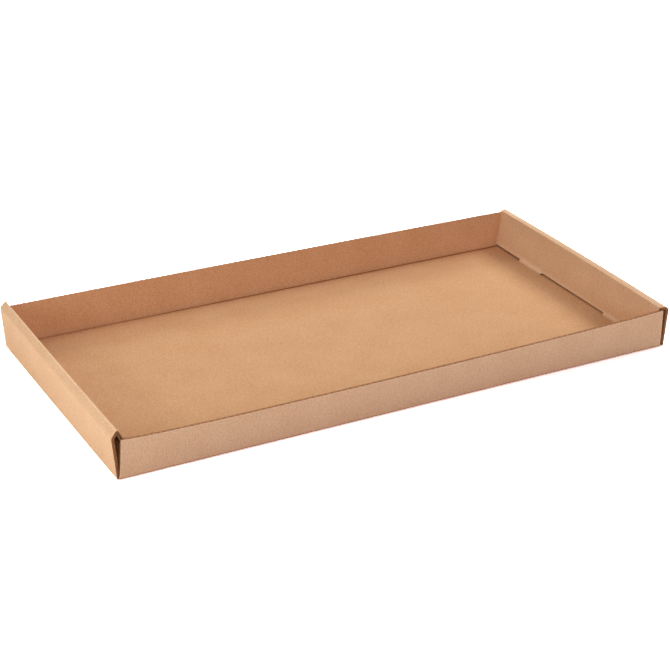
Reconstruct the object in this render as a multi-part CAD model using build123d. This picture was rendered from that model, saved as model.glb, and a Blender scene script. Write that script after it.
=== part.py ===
from build123d import *

import math
import os
from typing import NamedTuple

# A shallow tray folded from one die-cut sheet of single-wall corrugated board. The base carries two
# long sides and two ends. Each end is folded over: an outer wall, a narrow ridge and an inner wall
# that comes down inside over the corner flaps and locks into the base with two tabs.
# X runs along the tray, Y across it and Z up, with the origin under the middle of the base.
# All sizes are in millimetres.

# The board
board = 2.8  # thickness of the sheet
liner = 0.35  # flat paper on each face of the sheet
flute_pitch = 6.4  # one whole wave of the fluted paper
flute_paper = 0.3  # thickness of the fluted paper
flute_depth = 3.0  # how far the open ends of the flutes are cut in
bend = 2.0  # outer radius of a fold
crush = 0.4  # inner radius of a fold
gap = 0.3  # air between layers that lie against each other

# The base and the long sides
length = 604.8  # between the outer faces of the end folds
width = 295.0  # between the outer faces of the side folds
side_height = 41.5
side_lean = 1.2  # how far the top of a side stands out past its fold
front_bow = 4.0  # how much further it stands out at mid-length
back_bow = 1.5
left_set = 1.5  # from the left end fold in to the corner fold, at the base
right_set = 3.8  # the same at the right end
corner_flare = 2.0  # how much further in the corner fold stands at the top of the side

# The folded-over ends
slack = 3.8  # spare room beside the flap at the foot of an inner wall
foot_height = 4.6  # from the table to the lower edge of an inner wall
left_lean = 4.2  # how far the outer crease stands out past the base fold
left_over = 1.7  # how far the outer crease stands above the long sides
left_ridge = 9.8  # between the two creases on top of the end
left_rise = 7.0  # how much higher the inner crease has sprung
left_belly = 27.0  # height at which the inner wall bends down along the flaps
right_lean = 1.0
right_over = 2.8
right_ridge = 10.4
right_rise = 0.1
right_bend = 4.0  # outer radius of the softer outer crease on the right
belly_bend = 26.0  # radius of the left inner wall where it bends down
belly_reach = 0.4  # how much less than its foot the belly is set in

# The corner flaps
flap_length = 112.0  # from the long side's face to the flap's free edge
flap_bottom = 6.0
flap_top = 36.0
flap_taper = 3.0  # how much each edge narrows towards the free end

# The locking tabs and their slots
tab_width = 44.0
tab_spacing = 157.5  # between the middles of the two tabs of an end
tab_shift = 5.2  # how far both tabs stand towards the front
tab_tip = 0.5  # from the table to the tip of a tab
tab_lean = 1.2  # how far a tab leans into the tray on its way down
slot_play = 0.5  # room beyond each end of a tab

# Worked out from the sizes above
half_length = length / 2
half_width = width / 2
left_crease = side_height + left_over
right_crease = side_height + right_over
foot_set = 3 * board + 2 * gap + slack  # three layers stand side by side above the base fold
mouth_step = flute_pitch / 2
mouth_height = board - 2 * liner - flute_paper
mouth_slope = math.atan(mouth_height / mouth_step)
mouth_width = flute_pitch - 2 * flute_paper / math.sin(mouth_slope)


class End(NamedTuple):
    """One folded-over end of the tray."""

    outline: list  # corners of its outer face, outwards and up from the base fold
    corner_set: float  # from its base fold in to the corner fold, at the base
    crease_bend: float  # outer radius of its outer crease
    side: int  # -1 at the left, 1 at the right


def inset(points: list, amount: float) -> list:
    """Points of a line that runs beside an open line, on its left, with the same corners."""
    lines = []
    for (x0, z0), (x1, z1) in zip(points, points[1:]):
        run = math.hypot(x1 - x0, z1 - z0)
        dx = (x1 - x0) / run
        dz = (z1 - z0) / run
        lines.append((x0 - dz * amount, z0 + dx * amount, dx, dz, run))
    moved = [lines[0][:2]]
    for (x0, z0, dx0, dz0, _), (x1, z1, dx1, dz1, _) in zip(lines, lines[1:]):
        along = ((x1 - x0) * dz1 - (z1 - z0) * dx1) / (dx0 * dz1 - dz0 * dx1)
        moved.append((x0 + dx0 * along, z0 + dz0 * along))
    x0, z0, dx, dz, run = lines[-1]
    moved.append((x0 + dx * run, z0 + dz * run))
    return moved


def end_outline(lean: float, crease: float, ridge: float, rise: float, belly: list) -> list:
    """Corners of an end's outer face from the base fold to the foot, outwards and up from the fold."""
    peak = (lean - math.sqrt(ridge**2 - rise**2), crease + rise)
    return [(0, 0), (lean, crease), peak, *belly, (-foot_set, foot_height)]


def across(line: list, height: float) -> float:
    """How far out a line of an end's outline stands at a height."""
    for (u0, z0), (u1, z1) in zip(line, line[1:]):
        if min(z0, z1) <= height <= max(z0, z1):
            return u0 + (u1 - u0) * (height - z0) / (z1 - z0)
    return line[-1][0]


def stack_middle(end: End, height: float) -> float:
    """Middle of the room between an end's outer and inner walls, outwards from the base fold."""
    return (across(end.outline[:2], height) + across(end.outline[2:], height)) / 2


belly_point = (-foot_set + belly_reach, left_belly)
left_outline = end_outline(left_lean, left_crease, left_ridge, left_rise, [belly_point])
right_outline = end_outline(right_lean, right_crease, right_ridge, right_rise, [])
left_end = End(left_outline, left_set, bend, -1)
right_end = End(right_outline, right_set, right_bend, 1)
ends = (left_end, right_end)


def flute_mouths(start: tuple, stop: tuple, bulge: float = 0) -> list:
    """Open ends of the flutes along the board's middle, as flat triangles turned over by turns.

    The row runs from start to stop, and stands out to its right by a bulge at its middle.
    """
    run = math.dist(start, stop)
    ahead = ((stop[0] - start[0]) / run, (stop[1] - start[1]) / run)
    count = math.floor((run - mouth_width) / mouth_step) + 1
    mouths = []
    for index in range(count):
        along = (index - (count - 1) / 2) * mouth_step
        out = bulge * (1 - (2 * along / run) ** 2)
        rise = mouth_height / 2 if index % 2 else -mouth_height / 2
        corners = []
        for step, aside in ((-mouth_width / 2, -rise), (mouth_width / 2, -rise), (0, rise)):
            far = run / 2 + along + step
            x = start[0] + ahead[0] * far + ahead[1] * (out + aside)
            y = start[1] + ahead[1] * far - ahead[0] * (out + aside)
            corners.append((x, y))
        mouths.append(corners)
    return mouths


def open_board(section: Face, mouths: list, plane: Plane, depth: Vector) -> Solid:
    """Board drawn out from its section by a depth, with the open ends of its flutes left in it."""
    holes = [Wire.make_polygon([plane.from_local_coords(spot) for spot in mouth]) for mouth in mouths]
    return Solid.extrude(Face(section.outer_wire(), holes), depth)


def end_mouths(end: End) -> list:
    """Open flutes in the section of an end, where its cut edges show past the long side."""
    fold, crease, peak, shoulder = end.outline[:4]
    slope = corner_flare / side_height + crease[0] / crease[1]
    pressed = max((board + gap - end.corner_set) / slope, 2 * bend)  # up to here a fold shuts the edge
    hidden = side_height + board  # up to here the inner wall stands behind the side
    turned = end.crease_bend - board / 2 + liner  # the middle of the board runs straight from here
    rows = (
        ((across([fold, crease], pressed), pressed), crease, 0, 2 * bend),
        (crease, peak, turned, bend / 2),
        (peak, (across([peak, shoulder], hidden), hidden), bend, 0),
    )
    mouths = []
    for low, high, skip, spare in rows:
        run = math.dist(low, high)
        if run < skip + spare + mouth_width:
            continue
        (u0, z0), (u1, z1) = inset([low, high], board / 2)
        shares = (skip / run, 1 - spare / run)
        row = [(end.side * (half_length + u0 + (u1 - u0) * k), z0 + (z1 - z0) * k) for k in shares]
        mouths += flute_mouths(*row)
    return mouths


def sheet_section() -> Face:
    """Section of the base with both ends folded over, in the plane of X and Z."""
    left = [(-half_length - u, z) for u, z in reversed(left_end.outline)]
    right = [(half_length + u, z) for u, z in right_end.outline]
    outside = left + right
    outer_radii = [belly_bend, bend, left_end.crease_bend, bend, bend, right_end.crease_bend, bend]
    inner_radii = [max(radius - board, crush) for radius in outer_radii]
    inside = inset(outside, board)
    with BuildSketch(Plane.XZ) as section:
        with BuildLine():
            outer = FilletPolyline(*outside, radius=outer_radii)
            inner = FilletPolyline(*inside, radius=inner_radii)
            Line(outer @ 0, inner @ 0)
            Line(outer @ 1, inner @ 1)
        make_face()
    return section.sketch.face()


def folded_sheet() -> Part:
    """The base with both ends folded over, with the flutes open along its front and back edges."""
    section = sheet_section()
    mouths = end_mouths(left_end) + end_mouths(right_end)
    inner = half_width - gap - flute_depth
    sheet = extrude(section, inner, both=True)
    for side in (-1, 1):
        plane = Plane.XZ.offset(-side * inner)
        depth = Vector(0, side * flute_depth, 0)
        sheet += open_board(Pos(0, side * inner, 0) * section, mouths, plane, depth)
    return sheet


def corner_place(end: End, height: float) -> float:
    """Where an end's corner fold stands along X at a height."""
    return end.side * (half_length - end.corner_set - corner_flare * height / side_height)


def side_slice(height: float, lean: float, bow: float, room: float) -> Face:
    """Level section of the front side at a height, with its two corner folds rounded."""
    left = corner_place(left_end, height) - room
    right = corner_place(right_end, height) + room
    outer = -half_width - lean - room
    inner = outer + board + 2 * room
    middle = (left + right) / 2
    with BuildSketch(Plane.XY.offset(height)) as section:
        with BuildLine():
            if bow:
                ThreePointArc((left, inner), (middle, inner - bow), (right, inner))
            else:
                Line((left, inner), (right, inner))
            Line((right, inner), (right, outer + bend))
            RadiusArc((right, outer + bend), (right - bend, outer), bend)
            if bow:
                ThreePointArc((right - bend, outer), (middle, outer - bow), (left + bend, outer))
            else:
                Line((right - bend, outer), (left + bend, outer))
            RadiusArc((left + bend, outer), (left, outer + bend), bend)
            Line((left, outer + bend), (left, inner))
        make_face()
    return section.sketch.face()


def flap_slice(end: End, at_fold: bool, room: float) -> Face:
    """Upright section of a corner flap of the front side, at its fold or at its free end."""
    low = flap_bottom if at_fold else flap_bottom + flap_taper
    high = flap_top if at_fold else flap_top - flap_taper
    corners = []
    for height in (low, high):
        if at_fold:
            middle = corner_place(end, height) - end.side * board / 2
        else:
            middle = end.side * (half_length + stack_middle(end, height))
        grown = height - room if height == low else height + room
        half = end.side * (board / 2 + room)
        corners.append((middle - half, grown))
        corners.append((middle + half, grown))
    inner_low, outer_low, inner_high, outer_high = corners
    place = -half_width + board / 2 if at_fold else -half_width + flap_length + room
    with BuildSketch(Plane.XZ.offset(-place)) as section:
        with BuildLine():
            Polyline(inner_low, outer_low, outer_high, inner_high, close=True)
        make_face()
    return section.sketch.face()


def front_side(bow: float, room: float = 0) -> Part:
    """The front side and its two flaps, from the top of the base up, thickened by some room."""
    low = side_slice(board, 0, 0, room)
    shoulder = side_height - flute_depth
    high = side_slice(shoulder, side_lean, bow, room)
    side = loft([low, high], ruled=True)
    left = corner_place(left_end, side_height) + board
    right = corner_place(right_end, side_height) - board
    middle = board / 2 - half_width - side_lean
    mouths = [] if room else flute_mouths((left, middle), (right, middle), bow)
    top = Vector(0, 0, flute_depth + room)
    side += open_board(high, mouths, Plane.XY.offset(shoulder), top)
    for end in ends:
        side += loft([flap_slice(end, True, room), flap_slice(end, False, room)], ruled=True)
    return side


def side_fold() -> Part:
    """The rounded fold that joins the front side to the base."""
    with BuildSketch(Plane.YZ.offset(corner_place(left_end, 0))) as section:
        with BuildLine():
            outer = FilletPolyline(
                (-half_width + 2 * board, 0),
                (-half_width, 0),
                (-half_width, board),
                radius=bend,
            )
            Polyline(outer @ 1, (-half_width + 2 * board, board), outer @ 0)
        make_face()
    return extrude(section.sketch, length - left_set - right_set)


def tab(end: End, middle: float) -> Part:
    """A locking tab, from the foot of an inner wall down into its slot."""
    front = end.outline[-1]
    back = inset(end.outline, board)[-1]
    tip = front[0] - tab_lean
    shape = [front, (tip, board), (tip, tab_tip), (tip + board, tab_tip), (tip + board, board), back]
    with BuildSketch(Plane.XZ.offset(-middle)) as section:
        with BuildLine():
            Polyline(*[(end.side * (half_length + u), z) for u, z in shape], close=True)
        make_face()
    return extrude(section.sketch, tab_width / 2, both=True)


def slot(end: End, middle: float) -> Part:
    """The cut in the base that takes a tab."""
    centre = end.side * (half_length + end.outline[-1][0] - tab_lean + board / 2)
    cut = Box(board + 2 * gap, tab_width + 2 * slot_play, 3 * board)
    return Pos(centre, middle, 0) * cut


def main() -> None:
    """Fold the tray and write it out."""
    taken = []
    added = []
    for bow, back in ((front_bow, False), (back_bow, True)):
        pressed = front_side(bow, gap)
        side = front_side(bow) + side_fold()
        taken.append(pressed.mirror(Plane.XZ) if back else pressed)
        added.append(side.mirror(Plane.XZ) if back else side)
    for end in ends:
        for middle in (-tab_spacing / 2 - tab_shift, tab_spacing / 2 - tab_shift):
            taken.append(slot(end, middle))
            added.append(tab(end, middle))
    tray = folded_sheet() - taken + added
    os.makedirs("parts", exist_ok=True)
    export_step(tray, "parts/tray.step")


main()
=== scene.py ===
"""The looks of a shallow tray folded from one sheet of corrugated board.

The sheet is made here as its outside liner, its inside liner and the fluted paper that shows between
them at the cut edges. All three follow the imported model's folds. Sizes in the classes are in
millimetres, and turn to metres where a mesh, a node, a light or the camera is made.
"""

import logging
import math
from collections.abc import Callable
from dataclasses import dataclass, field, replace
from enum import Enum

import bmesh
import bpy
from mathutils import Matrix, Vector

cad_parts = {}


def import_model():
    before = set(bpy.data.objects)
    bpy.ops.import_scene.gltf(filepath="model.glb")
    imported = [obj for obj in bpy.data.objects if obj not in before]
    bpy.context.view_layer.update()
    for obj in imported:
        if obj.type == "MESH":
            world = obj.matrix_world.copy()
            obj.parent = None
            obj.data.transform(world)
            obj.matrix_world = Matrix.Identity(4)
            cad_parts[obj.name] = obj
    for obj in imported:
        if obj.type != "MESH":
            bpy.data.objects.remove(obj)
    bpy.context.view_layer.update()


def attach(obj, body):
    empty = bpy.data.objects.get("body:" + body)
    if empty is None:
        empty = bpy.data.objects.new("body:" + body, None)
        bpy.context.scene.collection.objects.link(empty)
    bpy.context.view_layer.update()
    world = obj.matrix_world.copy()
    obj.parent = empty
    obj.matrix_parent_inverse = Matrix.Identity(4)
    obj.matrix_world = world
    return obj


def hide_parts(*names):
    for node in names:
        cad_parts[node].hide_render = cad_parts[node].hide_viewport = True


log = logging.getLogger("tray")

MM = 0.001
CAD_NODE = "tray"
BODY = "root"
# The cut layer tints cut edges, partly their own colour and partly painted shade of the open flutes, and
# paints shade where paper is shut in.
CUT_AND_SHADE_LAYER = "cut"
# The worn layer holds scuffs and painted highlight above zero, and painted shade in folds and creases below
# zero.
WEAR_AND_LIGHT_LAYER = "wear_and_painted_light"
NEAR = 0.01
TAB_ROWS = 2
NOISE_MIDDLE = 0.5

Point = tuple[float, float]
Spot = tuple[float, float, float]
Grid = list[list[Spot]]
Tree = bpy.types.NodeTree
Socket = bpy.types.NodeSocket
Filling = Socket | float | bool | str | tuple[float, ...]
Inputs = dict[str | int, Filling]


class Paper(Enum):
    """The papers that the board is made of."""

    OUTSIDE = "outside_liner"
    INSIDE = "inside_liner"
    FLUTED = "fluted_paper"


@dataclass(frozen=True)
class Board:
    """The single-wall board: two liners with a fluted paper between them."""

    thickness: float = 2.8
    liner: float = 0.4
    pitch: float = 6.4  # one whole wave of the fluted paper
    paper: float = 0.3  # the fluted paper's own thickness
    bend: float = 2.0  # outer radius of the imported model's folds
    crush: float = 0.4  # least inner radius of a fold
    gap: float = 0.3  # air between layers that lie against each other

    @property
    def wave(self) -> float:
        """How far the fluted paper swings to each side of the board's middle."""
        return (self.thickness - self.paper) / 2 - self.liner


@dataclass(frozen=True)
class Tray:
    """The main sizes of the folded tray."""

    length: float = 604.8  # between the outer faces of the end folds
    width: float = 295.0  # between the outer faces of the side folds
    side_height: float = 41.5
    side_lean: float = 1.2  # how far a side's top stands out past its fold
    foot_set: float = 12.8  # from an end fold in to the foot of the inner wall
    tab_width: float = 44.0
    tab_spacing: float = 157.5  # between the middles of an end's two tabs
    tab_shift: float = 5.2  # how far both tabs stand towards the front
    tab_tip: float = 0.5  # from the table to the tip of a tab
    tab_taper: float = 1.4  # how much each side of a tab draws in at its tip
    slot_play: float = 0.5  # room beyond each end of a tab

    @property
    def half_length(self) -> float:
        """From the middle of the base to the outer face of an end fold."""
        return self.length / 2

    @property
    def half_width(self) -> float:
        """From the middle of the base to the outer face of a side fold."""
        return self.width / 2

    @property
    def tab_middles(self) -> tuple[float, float]:
        """Where the middles of an end's two tabs stand across the tray."""
        return (-self.tab_spacing / 2 - self.tab_shift, self.tab_spacing / 2 - self.tab_shift)


BOARD = Board()
TRAY = Tray()


def mix(start: float, stop: float, share: float) -> float:
    """A value part of the way from start to stop."""
    return start + (stop - start) * share


def between(start: Point, stop: Point, parts: int) -> list[Point]:
    """Points that cut a straight run into equal parts, without its two ends."""
    steps = [part / parts for part in range(1, parts)]
    return [(mix(start[0], stop[0], step), mix(start[1], stop[1], step)) for step in steps]


def inset(points: list[Point], amount: float) -> list[Point]:
    """Points of a line that runs beside an open line, on its left, with the same corners.

    Args:
        points: the corners of the open line.
        amount: how far to its left the new line runs.

    Returns:
        One point for each corner.
    """
    lines = []
    for (x0, z0), (x1, z1) in zip(points, points[1:]):
        run = math.hypot(x1 - x0, z1 - z0)
        dx = (x1 - x0) / run
        dz = (z1 - z0) / run
        lines.append((x0 - dz * amount, z0 + dx * amount, dx, dz, run))
    moved = [lines[0][:2]]
    for (x0, z0, dx0, dz0, _), (x1, z1, dx1, dz1, _) in zip(lines, lines[1:]):
        turn = dx0 * dz1 - dz0 * dx1
        along = ((x1 - x0) * dz1 - (z1 - z0) * dx1) / turn
        moved.append((x0 + dx0 * along, z0 + dz0 * along))
    x0, z0, dx, dz, run = lines[-1]
    moved.append((x0 + dx * run, z0 + dz * run))
    return moved


def fillet(before: Point, corner: Point, after: Point, radius: float, steps: int) -> list[Point]:
    """Points of the arc that rounds a corner which turns to the left.

    Args:
        before: the point that the line comes from.
        corner: the corner to round.
        after: the point that the line goes to.
        radius: the arc's radius.
        steps: how many pieces the arc has.

    Returns:
        The arc's points, from the run before to the run after.
    """
    first = math.atan2(corner[1] - before[1], corner[0] - before[0])
    second = math.atan2(after[1] - corner[1], after[0] - corner[0])
    turn = (second - first) % math.tau
    back = radius * math.tan(turn / 2)
    start = (corner[0] - back * math.cos(first), corner[1] - back * math.sin(first))
    centre = (start[0] - radius * math.sin(first), start[1] + radius * math.cos(first))
    angles = [first - math.pi / 2 + turn * step / steps for step in range(steps + 1)]
    return [(centre[0] + radius * math.cos(a), centre[1] + radius * math.sin(a)) for a in angles]


def link(name: str, mesh: bpy.types.Mesh) -> bpy.types.Object:
    """Puts a mesh in the scene as an object at the origin.

    Args:
        name: the object's name.
        mesh: what it shows.

    Returns:
        The new object.
    """
    piece = bpy.data.objects.new(name, mesh)
    bpy.context.scene.collection.objects.link(piece)
    return piece


def finished(name: str, whole: bmesh.types.BMesh, finish: bpy.types.Material) -> bpy.types.Object:
    """Turns gathered faces into one piece of the scene, with their outsides outwards.

    Args:
        name: the piece's name.
        whole: the faces, which are freed.
        finish: the material of them all.

    Returns:
        The piece's object.
    """
    bmesh.ops.recalc_face_normals(whole, faces=whole.faces)
    mesh = bpy.data.meshes.new(name)
    whole.to_mesh(mesh)
    whole.free()
    mesh.materials.clear()
    mesh.materials.append(finish)
    return link(name, mesh)


def put(tree: Tree, kind: str, inputs: Inputs, output: str | int = 0, **settings: str) -> Socket:
    """Adds a node to a tree.

    Args:
        tree: the tree that takes the node.
        kind: the node's type.
        inputs: for each input by name or number, the socket it is wired to or its plain value.
        output: the output that is wanted.
        settings: the node's own settings.

    Returns:
        The wanted output.
    """
    node = tree.nodes.new(kind)
    for name, value in settings.items():
        setattr(node, name, value)
    for name, value in inputs.items():
        if isinstance(value, Socket):
            tree.links.new(value, node.inputs[name])
        else:
            node.inputs[name].default_value = value
    return node.outputs[output]


@dataclass
class Sheet:
    """One thin closed paper between two grids of points, with parts of the grid left out."""

    front: Grid
    back: Grid
    lengths: list[float]
    widths: list[float]
    keep: Callable[[int, int], bool] = lambda row, column: True
    # scuffs and painted highlight above zero, painted shade below zero
    wear_and_painted_light: Callable[[int, int], float] = lambda row, column: 0.0
    # painted shade, from 0 in the open to 1 where the paper is shut in
    painted_shade: Callable[[int, int], float] = lambda row, column: 0.0

    def write(self, mesh: bmesh.types.BMesh) -> None:
        """Adds the paper to a mesh, with its place on the flat blank as a UV map.

        Args:
            mesh: the mesh that takes the faces.
        """
        rows = len(self.front) - 1
        columns = len(self.front[0]) - 1
        blank = mesh.loops.layers.uv.verify()
        floats = mesh.loops.layers.float
        cut = floats.get(CUT_AND_SHADE_LAYER) or floats.new(CUT_AND_SHADE_LAYER)
        wear_and_painted_light = floats.get(WEAR_AND_LIGHT_LAYER) or floats.new(WEAR_AND_LIGHT_LAYER)
        corners: dict[tuple[int, int, int], bmesh.types.BMVert] = {}

        def corner(side: int, row: int, column: int) -> bmesh.types.BMVert:
            """The vertex of one grid at a row and column, made once.

            Args:
                side: 0 for the front grid, 1 for the back one.
                row: the point's row.
                column: its column.

            Returns:
                The vertex, which the faces around it share.
            """
            key = (side, row, column)
            if key not in corners:
                spot = (self.front, self.back)[side][row][column]
                corners[key] = mesh.verts.new(Vector(spot) * MM)
            return corners[key]

        def face(keys: list[tuple[int, int, int]], smooth: bool) -> None:
            """One face through four grid points, with hard edges around it if it is a rim.

            Args:
                keys: the side, row and column of each point.
                smooth: whether the face is paper, and not its rim.
            """
            made = mesh.faces.new([corner(*key) for key in keys])
            made.smooth = smooth
            for loop, (_, row, column) in zip(made.loops, keys):
                loop[blank].uv = (self.lengths[row] * MM, self.widths[column] * MM)
                # Rims take the full cut tint: cut edges, partly their own colour and partly painted shade
                # of the open flutes. Smooth faces take their painted shade and painted light.
                loop[cut] = self.painted_shade(row, column) if smooth else 1.0
                loop[wear_and_painted_light] = self.wear_and_painted_light(row, column) if smooth else 0.0
            if not smooth:
                for edge in made.edges:
                    edge.smooth = False

        def kept(row: int, column: int) -> bool:
            """Whether a cell is inside the grid and part of the paper."""
            return 0 <= row < rows and 0 <= column < columns and self.keep(row, column)

        for row in range(rows):
            for column in range(columns):
                if not kept(row, column):
                    continue
                ring = [(row, column), (row + 1, column), (row + 1, column + 1), (row, column + 1)]
                face([(0, *spot) for spot in ring], True)
                face([(1, *spot) for spot in reversed(ring)], True)
                beside = [(row, column - 1), (row + 1, column), (row, column + 1), (row - 1, column)]
                for index, other in enumerate(beside):
                    if not kept(*other):
                        start, stop = ring[index], ring[(index + 1) % 4]
                        face([(0, *stop), (0, *start), (1, *start), (1, *stop)], False)


def run_lengths(line: list[Point]) -> list[float]:
    """How far along a line each of its points lies.

    Args:
        line: the points.

    Returns:
        One length for each point, from 0.
    """
    lengths = [0.0]
    for start, stop in zip(line, line[1:]):
        lengths.append(lengths[-1] + math.dist(start, stop))
    return lengths


@dataclass(frozen=True)
class EndProfile:
    """The section of a folded-over end at one place across the tray."""

    lean: float  # how far the outer crease stands out past the base fold
    crease: float  # height of the outer crease
    ridge: float  # between the outer and the inner crease
    rise: float  # how much higher the inner crease stands
    belly: float  # height at which the inner wall bends
    belly_reach: float  # how far out of the usual line of the foot that bend stands
    crease_bend: float  # outer radius of the outer crease
    peak_bend: float  # outer radius of the inner crease
    foot: float  # height of the inner wall's lower edge
    foot_reach: float = 0.0  # how far out of it the foot itself stands
    out: float = 0.0  # how far the base fold itself stands out

    def towards(self, other: "EndProfile", share: float) -> "EndProfile":
        """A profile part of the way to another."""
        names = self.__dataclass_fields__
        return EndProfile(*[mix(getattr(self, name), getattr(other, name), share) for name in names])

    @property
    def peak(self) -> Point:
        """The inner crease, outwards and up from the base fold."""
        return (self.out + self.lean - math.sqrt(self.ridge**2 - self.rise**2), self.crease + self.rise)

    def stands(self, height: float) -> float:
        """How far the outer wall's outside face stands out at a height."""
        return self.out + self.lean * height / self.crease


@dataclass(frozen=True)
class FoldedEnd:
    """One end of the tray: outer wall, ridge, inner wall and locking tabs."""

    side: int
    near: EndProfile
    far: EndProfile
    corner_set: float  # from the end fold in to the side's corner fold, at the base
    corner_flare: float  # how much further in the corner fold stands at the top
    flare_shape: float  # power with which it draws in on its way up
    belly_bend: float  # radius of the inner wall's bend
    bow: float  # how much more the outer wall leans out at mid-width
    base_bow: float  # how much further out the base fold stands there
    crown: float  # how much higher the outer crease stands there
    tab_lean: float = 1.2  # how much further in a tab stands than the usual line of the foot
    fold_bend: float = 1.2  # outer radius of the base fold
    fold_row: int = 1  # the row of a line at which the base fold's arc begins
    arc_steps: int = 5
    wall_parts: int = 6
    ridge_parts: int = 3
    inner_parts: int = 3
    scuff: float = 0.035  # share of the outer wall over which the base fold's painted shade fades
    cut_drop: float = 0.05  # least distance from the inner crease down to a cut end
    pinch_start: float = 132.0  # where across the tray the outer wall's pressing begins
    pinch_stop: float = 144.0  # where it is complete

    def profile(self, across: float) -> EndProfile:
        """The end's section at a place across the tray.

        Args:
            across: the place along Y, from the middle of the tray.

        Returns:
            The profile there, with the walls bowed outwards at the middle.
        """
        share = across / TRAY.width + 0.5
        middle = 1 - (2 * share - 1) ** 2
        mean = self.near.towards(self.far, share)
        return replace(
            mean,
            lean=mean.lean + self.bow * middle,
            out=mean.out + self.base_bow * middle,
            crease=mean.crease + self.crown * middle,
        )

    def corners(self, across: float) -> list[Point]:
        """Corners of the outer face from the base to the foot, outwards and up from the base fold.

        Args:
            across: the place along Y.

        Returns:
            The slot's edge, both ends of the outer wall, the inner crease, the bend and the foot.
        """
        profile = self.profile(across)
        belly = (profile.belly_reach - TRAY.foot_set, profile.belly)
        foot = (profile.foot_reach - TRAY.foot_set, profile.foot)
        base = (self.slot_line[1], 0.0)
        crease = (profile.out + profile.lean, profile.crease)
        return [base, (profile.out, 0.0), crease, profile.peak, belly, foot]

    @property
    def slot_line(self) -> Point:
        """The inner and outer long edges of the slots, outwards from the base fold.

        Returns:
            Both places, of which the inner one comes first.
        """
        middle = self.tip(BOARD.thickness / 2)
        half = BOARD.thickness / 2 + BOARD.gap
        return (middle - half, middle + half)

    def thin(self, across: float, height: float) -> float:
        """How much of the board's thickness is left where the corner fold presses the outer wall.

        Args:
            across: the place along Y.
            height: the height on the outer wall.

        Returns:
            The share of the full thickness, which is 1 away from the corners.
        """
        profile = self.profile(across)
        room = (profile.stands(height) + self.corner_set + self.flare(height) - BOARD.gap) / BOARD.thickness
        reach = (abs(across) - self.pinch_start) / (self.pinch_stop - self.pinch_start)
        return mix(1.0, min(1.0, room), min(1.0, max(0.0, reach)))

    def flare(self, height: float) -> float:
        """How far a corner fold has drawn inwards at a height."""
        share = min(1.0, max(0.0, height / TRAY.side_height))
        return self.corner_flare * share**self.flare_shape

    def cut_height(self, across: float) -> float:
        """The height at which the inner wall's ends stop against the top of a long side."""
        side = FRONT if across < 0 else BACK
        return side.top(self.side) + BOARD.gap

    def line(self, across: float, depth: float) -> list[Point]:
        """The end's section at one depth in the board, from the base to the tips of the tabs.

        Args:
            across: the place along Y.
            depth: how far in from the outside face.

        Returns:
            Points outwards and up from the base fold, the same number for every place and depth.
        """
        corners = inset(self.corners(across), depth)
        profile = self.profile(across)
        bends = (self.fold_bend, profile.crease_bend, profile.peak_bend, self.belly_bend)
        arcs = []
        for index, bend in enumerate(bends):
            before, corner, after = corners[index : index + 3]
            radius = max(bend - depth, BOARD.crush)
            arcs.append(fillet(before, corner, after, radius, self.arc_steps))
        fold, crease, peak, belly = arcs
        near_fold = (mix(fold[-1][0], crease[0][0], self.scuff), mix(fold[-1][1], crease[0][1], self.scuff))
        line = [corners[0], *fold, near_fold, *between(near_fold, crease[0], self.wall_parts - 1), *crease]
        line += [*between(crease[-1], peak[0], self.ridge_parts), *peak]
        top, low = peak[-1], belly[0]
        level = min(self.cut_height(across), top[1] - self.cut_drop)
        share = (top[1] - level) / (top[1] - low[1])
        cut = (mix(top[0], low[0], share), level)
        line += [cut, *between(cut, low, self.inner_parts), *belly]
        line += [*between(belly[-1], corners[-1], self.inner_parts), corners[-1]]
        tip = self.tip(depth)
        return line + [(tip, BOARD.thickness), (tip, TRAY.tab_tip)]

    def tip(self, depth: float) -> float:
        """Where a tab's face stands at one depth in the board, outwards from the base fold."""
        return -TRAY.foot_set - self.tab_lean + depth

    @property
    def fold_middle(self) -> int:
        """The row of a line at the middle of the base fold's arc."""
        return self.fold_row + self.arc_steps // 2

    @property
    def crease_row(self) -> int:
        """The row of a line at which the outer crease's arc begins."""
        return self.fold_row + self.arc_steps + self.wall_parts

    @property
    def crease_middle(self) -> int:
        """The row of a line at the middle of the outer crease's arc."""
        return self.crease_row + self.arc_steps // 2

    @property
    def peak_row(self) -> int:
        """The row of a line at which the inner crease's arc begins."""
        return self.crease_row + self.arc_steps + self.ridge_parts

    @property
    def peak_middle(self) -> int:
        """The row of a line at the middle of the inner crease's arc."""
        return self.peak_row + (self.arc_steps + 1) // 2

    @property
    def cut_row(self) -> int:
        """The row of a line at which the inner wall's ends are cut."""
        return self.peak_row + self.arc_steps + 1


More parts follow.
